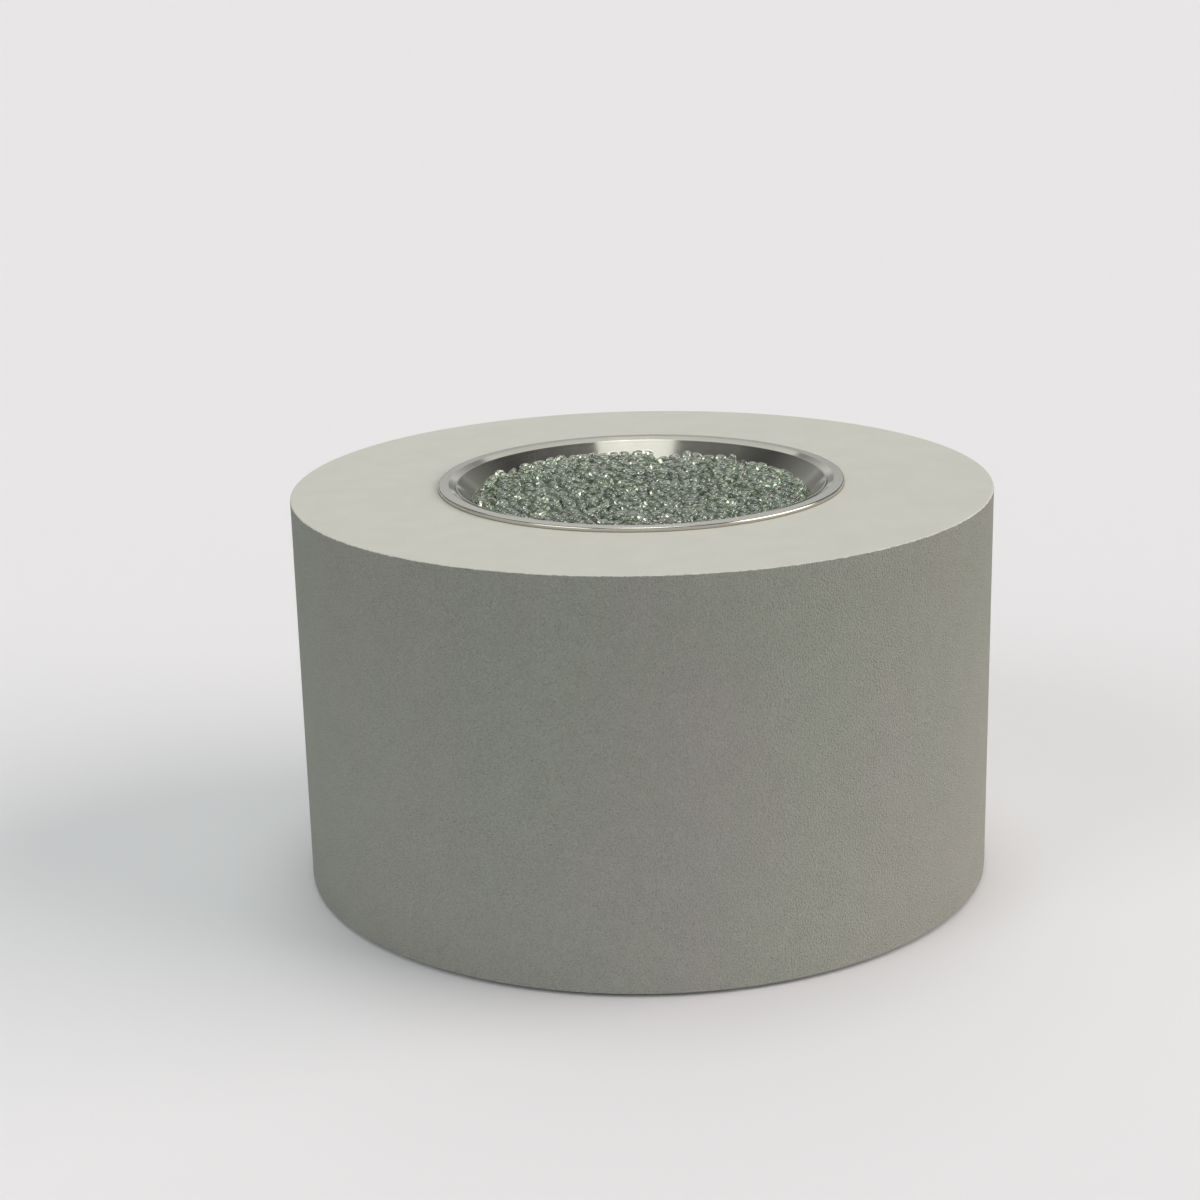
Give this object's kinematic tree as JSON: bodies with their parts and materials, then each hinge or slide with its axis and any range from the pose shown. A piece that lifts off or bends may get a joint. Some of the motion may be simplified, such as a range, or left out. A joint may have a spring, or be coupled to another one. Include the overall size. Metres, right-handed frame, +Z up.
{
  "type": "gas fire pit table",
  "caption": "Round cast fire pit table with a stainless drop-in burner pan, a glass bead bed, a gas valve and igniter, and a hinged access door at the rear.",
  "frame": {"origin": "on the floor at the centre of the table", "axes": "+Z up, the pictured front faces -Y, the access door faces +Y"},
  "size_m": [1.067, 1.067, 0.6125],
  "materials": {
    "cast_wall": "warm grey cast stone with a fine orange-peel relief",
    "cast_top": "pale grey smooth cast stone",
    "stainless": "spun stainless steel",
    "zinc_steel": "zinc-plated steel",
    "brass": "turned brass",
    "aluminium_tube": "drawn aluminium",
    "frame_paint": "black powder coat",
    "rubber": "black rubber",
    "knob_plastic": "black moulded plastic",
    "button_plastic": "red moulded plastic",
    "silicone": "grey silicone sleeve",
    "ceramic": "white insulator ceramic",
    "bead_glass": "clear, slightly green fire beads"
  },
  "bodies": {
    "table": {"body_wall": "cast_wall", "top_deck": "cast_top", "burner_pan": "stainless", "pan_gasket": "rubber", "glass_bed": "bead_glass", "glass_beads": "bead_glass", "burner_ring": "stainless", "inlet_nipple": "zinc_steel", "nipple_locknut": "zinc_steel", "inlet_elbow": "zinc_steel", "air_mixer": "brass", "gas_orifice": "brass", "gas_tube": "aluminium_tube", "tube_nuts": "brass", "valve_body": "brass", "valve_nut": "zinc_steel", "control_plate": "stainless", "igniter_body": "knob_plastic", "igniter_nut": "zinc_steel", "ignition_lead": "silicone", "lead_clips": "knob_plastic", "spark_electrode": "ceramic", "heat_shield": "zinc_steel", "shield_posts": "zinc_steel", "shield_nuts": "zinc_steel", "base_frame": "frame_paint", "frame_bolts": "zinc_steel", "tank_tray": "frame_paint", "tray_screws": "zinc_steel", "vent_grille_left": "stainless", "vent_grille_right": "stainless", "trim_screws": "stainless", "hinge_leaves_wall": "stainless", "hinge_pins": "stainless", "hinge_screws_wall": "zinc_steel", "magnet_catch": "knob_plastic"},
    "door": {"access_door": "cast_wall", "hinge_leaves_door": "stainless", "hinge_screws_door": "zinc_steel", "door_pull": "stainless", "pull_nut": "zinc_steel", "strike_plate": "zinc_steel"},
    "knob": {"control_knob": "knob_plastic", "valve_stem": "zinc_steel"},
    "button": {"igniter_button": "button_plastic"},
    "foot_1": {"foot_stud_1": "zinc_steel", "foot_pad_1": "rubber"},
    "foot_2": {"foot_stud_2": "zinc_steel", "foot_pad_2": "rubber"},
    "foot_3": {"foot_stud_3": "zinc_steel", "foot_pad_3": "rubber"},
    "foot_4": {"foot_stud_4": "zinc_steel", "foot_pad_4": "rubber"}
  },
  "joints": [
    {"name": "door_hinge", "type": "hinge", "parent": "table", "child": "door", "pos_m": [0.1805, 0.50692, 0.293], "axis": [0, 0, -1], "range_deg": [0, 110]},
    {"name": "knob_turn", "type": "hinge", "parent": "table", "child": "knob", "pos_m": [0.4037, 0.34713, 0.4925], "axis": [0.788, 0.6157, 0], "range_deg": [0, 180]},
    {"name": "igniter_press", "type": "slide", "parent": "table", "child": "button", "axis": [-0.788, -0.6157, 0], "range_m": [0, 0.004], "stiffness_N_per_m": 900, "springref_m": -0.002},
    {"name": "foot_1_level", "type": "slide", "parent": "table", "child": "foot_1", "axis": [0, 0, -1], "range_m": [0, 0.015]},
    {"name": "foot_2_level", "type": "slide", "parent": "table", "child": "foot_2", "axis": [0, 0, -1], "range_m": [0, 0.015]},
    {"name": "foot_3_level", "type": "slide", "parent": "table", "child": "foot_3", "axis": [0, 0, -1], "range_m": [0, 0.015]},
    {"name": "foot_4_level", "type": "slide", "parent": "table", "child": "foot_4", "axis": [0, 0, -1], "range_m": [0, 0.015]}
  ]
}
